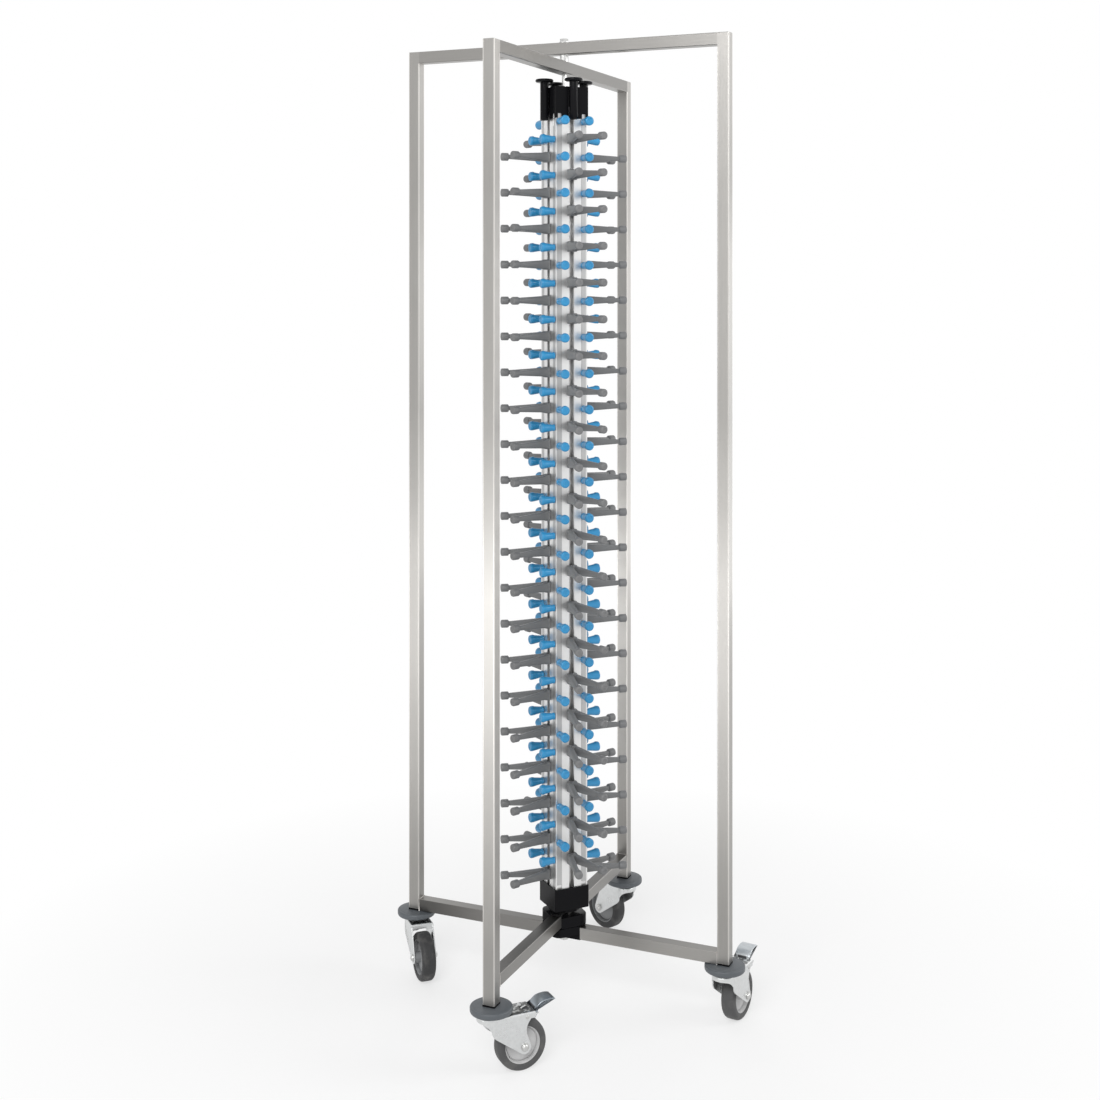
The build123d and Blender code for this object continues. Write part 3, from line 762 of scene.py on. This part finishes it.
# Rests and handles
def make_finger(start, radius, edge):
    """One round rest that widens from its collar, which stands on the face at the start, to
    its dished tip, with a low button on top that keeps a plate from sliding off."""
    reach = finger_reach
    outline = [(radius * 0.66, start), (radius * 0.74, start + 0.6), (radius * 0.74, start + 2.6),
               (radius * 0.68, start + 3.2), (radius * 0.68, start + 4.4),
               (radius * 0.90, reach - 12.0), (radius * 0.985, reach - 7.0)]
    outline += arc((radius - edge, reach - edge), edge, 0, 90, 5)
    outline += [(radius * 0.52, reach), (radius * 0.46, reach - 0.7), (0.3, reach - 0.9)]
    button = [(0.3, 6.0), (4.6, 6.0), (4.5, 8.0), (3.4, 9.4), (1.8, 9.88), (0.3, 9.95)]
    finger = Shell()
    finger.lathe(outline, 22, along="x")
    finger.lathe(button, 14, centre=(reach - 6.4, 0.0, 0.0))
    return finger


class RACK_OT_fingers(bpy.types.Operator):
    """Make the round upper rests of the four stacks"""
    bl_idname = "rack.fingers"
    bl_label = "Upper rests"

    def execute(self, context):
        sizes = (rack_sizes().finger_radius / MM, rack_sizes().finger_end_round / MM)
        plain = make_finger(36.35, *sizes)
        necked = make_finger(37.9, *sizes)
        neck = Shell()
        neck.slab(rectangle((-5.8, -3.8), (5.8, 3.8), 1), mast_face, 38.9, 0.3)
        neck.points[-1] = neck.points[-1][:, [2, 1, 0]] * (1, -1, 1)
        necked.join(neck)
        for side, heading in stack_headings.items():
            top = heights_of(f"upper_rests_{side}")[1] - 10.0
            places = [[(0.0, sign * band_place, top - level_pitch * level) for sign in (1, -1)]
                      for level in range(level_count)]
            first = necked if side in ("front", "back") else plain
            stack = first.copies(places[0]).join(plain.copies(np.concatenate(places[1:])))
            stack.placed(heading)
            stack.piece(f"fingers_{side}", f"carrier_{side}", "rest_blue", "finger_plastic",
                        (f"upper_rests_{side}",))
        return {"FINISHED"}


class RACK_OT_forks(bpy.types.Operator):
    """Make the forked lower rests of the four stacks, with their padded tips"""
    bl_idname = "rack.forks"
    bl_label = "Lower rests"

    def execute(self, context):
        run = np.linspace(0, 1, 12)
        path = np.stack([40.0 + run * 76.5, 5.2 + run ** 1.05 * 20.2, np.zeros(12)], axis=1)
        half_sizes = np.stack([5.6 - 0.9 * run, 9.6 - 5.2 * run], axis=1)
        arm = Shell()
        arm.carry(path, ring(20, 4.5)[None] * half_sizes[:, None])
        arm.mirrored()
        root = rounded([(36.1, -10.6, 1.2), (41.0, -10.6, 3.0), (47.0, -8.0, 3.0),
                        (47.0, 8.0, 3.0), (41.0, 10.6, 3.0), (36.1, 10.6, 1.2)], 4)
        arm.slab(root, -10.8, 10.8, 1.6)
        pad = Shell()
        pad.lathe([(0.3, -8.1), (6.4, -8.1), (7.5, -7.5), (8.2, -6.0), (8.2, 5.6), (7.6, 7.2),
                   (6.4, 8.0), (3.6, 8.1), (3.1, 7.4), (0.3, 7.4)], 24, along="x")
        pad.placed(tip_turn, (124.0, 27.0, 0.0))
        pad.mirrored()
        for side, heading in stack_headings.items():
            top = heights_of(f"lower_rests_{side}")[1] - 11.0
            offsets = [(0.0, 0.0, top - level_pitch * level) for level in range(level_count)]
            arm.copies(offsets).placed(heading).piece(
                f"forks_{side}", "mast", "rest_grey", "fork_plastic", (f"lower_rests_{side}",))
            pad.copies(offsets).placed(heading).piece(
                f"fork_pads_{side}", "mast", "rest_grey", "pad_rubber")
        return {"FINISHED"}


class RACK_OT_handles(bpy.types.Operator):
    """Make the four lift handles with their knobs"""
    bl_idname = "rack.handles"
    bl_label = "Handles"

    def execute(self, context):
        rim = rack_sizes().knob_round / MM
        for side, heading in stack_headings.items():
            foot, top = heights_of(f"handle_{side}")
            knob_foot = top - 7.0
            outline = [(0.4, foot), (6.6, foot), (8.2, foot + 0.6), (8.9, foot + 2.0),
                       (8.9, knob_foot - 3.5), (9.0, knob_foot - 0.4), (9.6, knob_foot)]
            outline += arc((18.9 - rim, knob_foot + 3.5), (rim, 3.45), -90, 90, 9)
            outline += [(13.0, top - 0.25), (6.0, top - 0.5), (0.4, top - 0.6)]
            handle = Shell()
            handle.lathe(outline, 40, centre=(45.5, 0.0, 0.0))
            tongue = rectangle((mast_face, -4.4), (45.0, 4.4), 0.3)
            handle.slab(tongue, foot + 15.1, foot + 26.9, 0.6)
            handle.placed(heading)
            handle.piece(f"lift_handle_{side}", f"carrier_{side}", "handle_black",
                         "handle_plastic", (f"handle_{side}",))
        return {"FINISHED"}


# Castors
class RACK_OT_bumpers(bpy.types.Operator):
    """Make the round bumper discs above the castors, and finish their plates and stems"""
    bl_idname = "rack.bumpers"
    bl_label = "Bumpers"

    def execute(self, context):
        outline = [(6.2, 119.6), (33.0, 119.6), (34.0, 119.1)]
        outline += arc((37.6, 123.1), (3.3, 4.0), -90, 0, 7)
        outline += arc((38.2, 128.2), (2.7, 2.6), 0, 90, 7)
        outline += [(36.4, 130.5), (35.6, 130.8), (28.0, 131.5), (20.0, 131.85), (6.2, 131.9)]
        foot = rectangle((-12.9, -12.9), (12.9, 12.9), 1)
        for frame_name, corners in frame_castors.items():
            discs = Shell()
            collars = Shell()
            for corner in corners:
                disc = Shell()
                disc.lathe(outline, 64, looped=True)
                discs.join(disc.placed(0, post_place(corner)))
                collar = Shell()
                collar.slab(foot, 131.8, 135.2, 0.4)
                collars.join(collar.placed(frame_headings[frame_name], post_place(corner)))
            discs.piece(f"{frame_name}_discs", f"{frame_name}_frame", "slate_plastic",
                        "bumper_plastic", (f"{frame_name}_bumpers",))
            collars.piece(f"{frame_name}_foot_collars", f"{frame_name}_frame", "black_plastic",
                          "cap_plastic")
            paint(f"{frame_name}_swivel_plates", "bolt_steel")
            paint(f"{frame_name}_stems", "zinc")
        return {"FINISHED"}


def crown_outline(end, less=0.0):
    """A castor crown from above, listed anticlockwise: a rounded nose about the swivel axis,
    the superellipse |x / length|^2.3 + |y / half|^2.3 = 1 for x below zero, and straight
    sides to a square end."""
    length, half, end = crown_nose - less, crown_half - less, end - less
    nose = ring(64, 2.3)
    nose = nose[nose[:, 0] < 1e-6] * (length, half)
    run = np.linspace(0, 1, 12)[1:]
    side = np.stack([run * end, np.full(11, half)], axis=1)
    across = np.linspace(1, -1, 9)[1:-1, None] * (0.0, half) + (end, 0.0)
    return np.concatenate([nose, side * (1, -1), across[::-1], side[::-1]])


def make_fork(braked):
    """A pressed castor fork in its own frame, trailing towards +x: a crown with a rolled top
    edge and a skirt that deepens from the nose to the cheeks, and two flat cheeks."""
    end = 81.9 if braked else 47.9
    outer, inner = crown_outline(end), crown_outline(end, crown_wall)
    forward = np.clip((outer[:, 0] + 27.0) / 21.0, 0, 1)
    foot = crown_foot - 18.0 * forward ** 2 * (outer[:, 0] < -5.0) - 2.0 * (outer[:, 0] >= -5.0)
    foot = np.where(np.abs(outer[:, 1]) < 12.0, crown_foot, foot)
    bore = 6.15 * outer / np.linalg.norm(outer, axis=1)[:, None]
    ceiling = crown_foot + 6.5
    levels = [(bore, crown_top), (bore, ceiling), (inner, ceiling), (inner, foot), (outer, foot)]
    for angle in np.linspace(0, np.pi / 2, 5):
        levels.append((crown_outline(end, crown_edge * (1 - math.cos(angle))),
                       crown_top - crown_edge * (1 - math.sin(angle))))
    fork = Shell()
    fork.loft(np.stack([np.column_stack([outline, np.broadcast_to(height, len(outline))])
                        for outline, height in levels]), looped=True)
    eye = [(x, y, 5.75) for x, y in arc((trail, wheel_radius), 14.05, -100.6, -3.6, 3)]
    cheek = [(-8.0, 111.4, 0.6), (-8.0, 84.7, 4.0), (-2.0, 76.7, 5.0)] + eye
    if braked:
        cheek += [(61.7, 79.5, 7.0), (64.5, 92.7, 6.0), (74.0, 105.0, 5.0), (88.4, 109.6, 0.9),
                  (88.4, 111.4, 0.5)]
    else:
        cheek += [(47.6, 111.4, 0.6)]
    cheeks = Shell()
    cheeks.slab(rounded(cheek), 22.0, 24.5, 0.5, along="y")
    return fork.join(cheeks.mirrored())


def make_brake_slot_shade():
    """A dark plate in a braked fork's top, painted shade that stands for the slot there."""
    slot = Shell()
    slot.slab(rectangle((58, -8), (74, 8), 2, 4), 114.3, 114.9, 0.2)
    return slot


def make_brake_hook():
    """A bent wire that arches over the slot, and the two heads of the pin below it."""
    bend = np.linspace(0, np.pi, 11)
    path = np.stack([66 - 6.5 * np.cos(bend), -3.0 * np.cos(bend),
                     114.6 + 1.9 * np.sin(bend)], axis=1)
    hook = Shell()
    hook.carry(path, ring(10) * 1.5)
    pin_head = [(0.3, 24.4), (3.6, 24.4), (3.5, 25.2), (2.4, 25.9), (0.3, 26.2)]
    for head in (pin_head, mirror(pin_head)):
        hook.lathe(head, 16, centre=(64.0, 0.0, 106.0), along="y")
    return hook


def about_axle(outline, count, looped=True):
    """An outline turned about a wheel's axle."""
    turned = Shell()
    turned.lathe(outline, count, centre=(trail, 0.0, wheel_radius), along="y", looped=looped)
    return turned


def make_axle_bolt():
    """The axle with a flange and a domed head on each side."""
    half = [(3.9, 0.0), (3.9, 24.5), (8.0, 24.55), (8.0, 25.6), (6.8, 25.9)]
    half += arc((0.0, 26.6), (6.6, 3.3), 0, 90, 7)[:-1] + [(0.4, 29.9)]
    return about_axle(mirror(half[1:]) + half, 28, looped=False)


def make_tyre(shoulder):
    """A tyre with rounded shoulders, from its seat round to its slightly crowned tread."""
    half = [(38.1, -13.1), (35.9, -13.15), (35.9, -14.0), (38.0, -14.6), (41.0, -tyre_half)]
    half += arc((49.9 - shoulder, shoulder - tyre_half), shoulder, -90, 0, 7) + [(49.95, -4.0)]
    return about_axle(half + mirror(half), 96)


def make_wheel_centre():
    """A wheel centre: hub, web with a step, and the rim that carries the tyre."""
    half = [(4.15, 0.0), (4.15, 21.3), (9.8, 21.3), (10.9, 20.2), (11.0, 9.4), (12.6, 7.6),
            (24.0, 6.6), (30.6, 6.4), (31.0, 4.6), (32.2, 4.6), (32.6, 7.0), (33.8, 12.4),
            (34.2, 13.0), (37.6, 13.0), (38.0, 12.6), (38.0, 0.0)]
    return about_axle((half + mirror(half[1:-1]))[::-1], 72)


def hang(corner, rows):
    """Set pieces in place on one castor. Each row is a shell, a name, a body, a slot, which is not
    used, a finish and, where the piece stands for one, a CAD node. The castor's corner ends the
    name, the body and the node."""
    for shell, name, body, slot, finish_name, *nodes in rows:
        shell.placed(castor_facings[corner], post_place(corner))
        shell.piece(f"{name}_{corner}", f"{body}_{corner}", slot, finish_name,
                    [f"{node}_{corner}" for node in nodes])


class RACK_OT_castors(bpy.types.Operator):
    """Make the four swivel forks, axle bolts, tyres and wheel centres"""
    bl_idname = "rack.castors"
    bl_label = "Castors"

    def execute(self, context):
        shoulder = rack_sizes().tread_round / MM
        for corner in castor_facings:
            braked = corner.startswith("front")
            hang(corner, [(make_fork(braked), "castor_fork", "swivel", "zinc", "zinc",
                           "swivel_fork")])
            if braked:
                # painted shade: a dark plate where the fork's top has its slot
                hang(corner, [(make_brake_slot_shade(), "brake_slot", "swivel", "black_plastic",
                               "dark_plate"),
                              (make_brake_hook(), "brake_hook", "swivel", "zinc", "bolt_steel")])
            # The rear castors take the darker finishes, which hold painted shade.
            hang(corner, [(make_axle_bolt(), "axle_bolt", "swivel", "fastener_steel",
                           "bolt_steel", "axle"),
                          (make_tyre(shoulder), "wheel_tyre", "wheel", "tread_rubber",
                           "tread" if braked else "dark_tread", "tyre"),
                          (make_wheel_centre(), "wheel_disc", "wheel", "wheel_grey",
                           "wheel_plastic" if braked else "dark_wheel", "wheel_centre")])
        return {"FINISHED"}


class RACK_OT_pedals(bpy.types.Operator):
    """Make the brake pedals of the two front castors"""
    bl_idname = "rack.pedals"
    bl_label = "Brake pedals"

    def execute(self, context):
        side = [(58.6, 103.2, 0.8), (66.0, 101.9, 2.0), (80.0, 100.1, 2.0), (85.0, 99.4, 1.0),
                (88.2, 104.2, 2.0), (91.0, 116.5, 4.0), (97.0, 123.6, 4.0), (109.0, 126.6, 6.0),
                (118.0, 127.0, 5.0), (125.7, 125.6, 0.7), (125.9, 127.2, 0.7),
                (118.6, 129.0, 5.0), (109.0, 129.1, 6.0), (97.0, 127.0, 5.0), (86.4, 118.4, 3.0),
                (83.6, 110.2, 2.0), (58.6, 108.4, 0.8)]
        # painted shade: a thin dark plate in the gap between the fork's housing and the pedal's
        # rise
        slit_shade = [(84.0, 111.4, 0.1), (85.7, 116.4, 0.1), (85.1, 116.6, 0.1), (83.4, 111.6, 0.1)]
        for corner in ("front_left", "front_right"):
            pedal, slot = Shell(), Shell()
            pedal.slab(rounded(side), -16.4, 16.4, 0.9, along="y")
            slot.slab(rounded(slit_shade, 3), -9.5, 9.5, 0.1, along="y")
            hang(corner, [(slot, "pedal_slot", "pedal", "black_plastic", "dark_plate"),
                          (pedal, "pedal", "pedal", "zinc", f"{corner}_pedal_metal",
                           "brake_pedal")])
        return {"FINISHED"}


# Stage
def lay_floor():
    """A round floor of rings of 64 points, with its faces upwards."""
    count = 64
    radius = np.concatenate([np.linspace(0.02, 3.0, 24), [6.0, 14.0, 30.0]])
    points = radius[:, None, None] * ring(count)[None]
    points = np.concatenate([points, np.zeros(points.shape[:2] + (1,))], axis=-1)
    faces = cells(len(radius), count)[:, ::-1].tolist() + [list(range(count))]
    floor = make_object("floor", points.reshape(-1, 3).tolist(), faces,
                        floor_paint("floor_paint"))


def hang_lamp(name, place, target, size, power):
    """A round area lamp at a place in metres, turned to a target."""
    light = bpy.data.lights.new(name, "AREA")
    light.shape = "DISK"
    light.size = size
    light.energy = power
    lamp = bpy.data.objects.new(name, light)
    lamp.location = place
    aim = np.array(target) - np.array(place)
    lamp.rotation_euler = (math.acos(-aim[2] / np.linalg.norm(aim)), 0.0,
                           math.atan2(aim[1], aim[0]) - math.pi / 2)
    lamp.visible_camera = False
    lamp.visible_glossy = name != "back"
    bpy.context.scene.collection.objects.link(lamp)


def white_world():
    """Surroundings that are full white to the camera and to rays that pass through or mirror,
    and shine with less strength on everything else."""
    world = bpy.data.worlds.new("surroundings")
    world.use_nodes = True
    nodes, links = world.node_tree.nodes, world.node_tree.links
    strength = nodes["Background"].inputs["Strength"]
    rays = nodes.new("ShaderNodeLightPath").outputs
    for kind in ("Is Camera Ray", "Is Transmission Ray", "Is Glossy Ray"):
        larger = nodes.new("ShaderNodeMath")
        larger.operation = "MAXIMUM"
        links.new(rays[kind], larger.inputs[0])
        links.new(larger.outputs[0], strength)
        strength = larger.inputs[1]
    strength.default_value = 0.42
    nodes["Background"].inputs["Color"].default_value = (1.0, 1.0, 1.0, 1.0)
    return world


class RACK_OT_stage(bpy.types.Operator):
    """Lay the floor and set the lights, the white surroundings and the camera"""
    bl_idname = "rack.stage"
    bl_label = "Stage"

    def execute(self, context):
        scene = context.scene
        scene.view_settings.view_transform = "Standard"
        lay_floor()
        hang_lamp("key", (-2.6, -3.2, 3.4), (0.0, 0.0, 1.1), 2.6, 150.0)
        hang_lamp("fill", (3.6, -2.4, 2.6), (0.0, 0.0, 1.0), 2.6, 70.0)
        hang_lamp("back", (0.6, 3.8, 3.2), (0.0, 0.0, 1.1), 3.6, 40.0)
        hang_lamp("left", (-3.1, -1.2, 0.30), (0.0, 0.0, 0.85), 1.1, 8.0)
        hang_lamp("right", (3.0, 1.0, 1.0), (0.0, 0.0, 1.0), 1.6, 7.0)
        scene.world = white_world()
        camera_data = bpy.data.cameras.new("camera")
        camera_data.sensor_width = 36.0
        camera_data.lens = 51.55
        camera_data.shift_y = -0.2442
        camera_data.clip_end = 100.0
        camera = bpy.data.objects.new("camera", camera_data)
        camera.location = (axis_place[0] - 1.4215, axis_place[1] - 2.9783, 1.5)
        camera.rotation_euler = (math.pi / 2, 0.0, math.radians(-25.0))
        scene.collection.objects.link(camera)
        scene.camera = camera
        return {"FINISHED"}


steps = (RACK_OT_frames, RACK_OT_pivots, RACK_OT_mast, RACK_OT_fingers, RACK_OT_forks,
         RACK_OT_handles, RACK_OT_bumpers, RACK_OT_castors, RACK_OT_pedals, RACK_OT_stage)


class RACK_PT_finish(bpy.types.Panel):
    """The rack's sizes, colours and steps"""
    bl_idname = "RACK_PT_finish"
    bl_label = "Plate rack"
    bl_space_type = "VIEW_3D"
    bl_region_type = "UI"
    bl_category = "Plate rack"

    def draw(self, context):
        for group in (context.scene.rack_sizes, context.scene.rack_colours):
            for name in group.__annotations__:
                self.layout.prop(group, name)
        for step in steps:
            self.layout.operator(step.bl_idname)


classes = (RackColours, RackSizes, *steps, RACK_PT_finish)


def register():
    """Register the classes and hang the settings on the scene."""
    for each in classes:
        bpy.utils.register_class(each)
    bpy.types.Scene.rack_colours = bpy.props.PointerProperty(type=RackColours)
    bpy.types.Scene.rack_sizes = bpy.props.PointerProperty(type=RackSizes)


def unregister():
    """Take the settings off the scene and the classes out again."""
    del bpy.types.Scene.rack_sizes
    del bpy.types.Scene.rack_colours
    for each in reversed(classes):
        bpy.utils.unregister_class(each)


def main():
    """Run every step in order."""
    register()
    for step in steps:
        group, name = step.bl_idname.split(".")
        getattr(getattr(bpy.ops, group), name)()


if __name__ == "__main__":
    main()
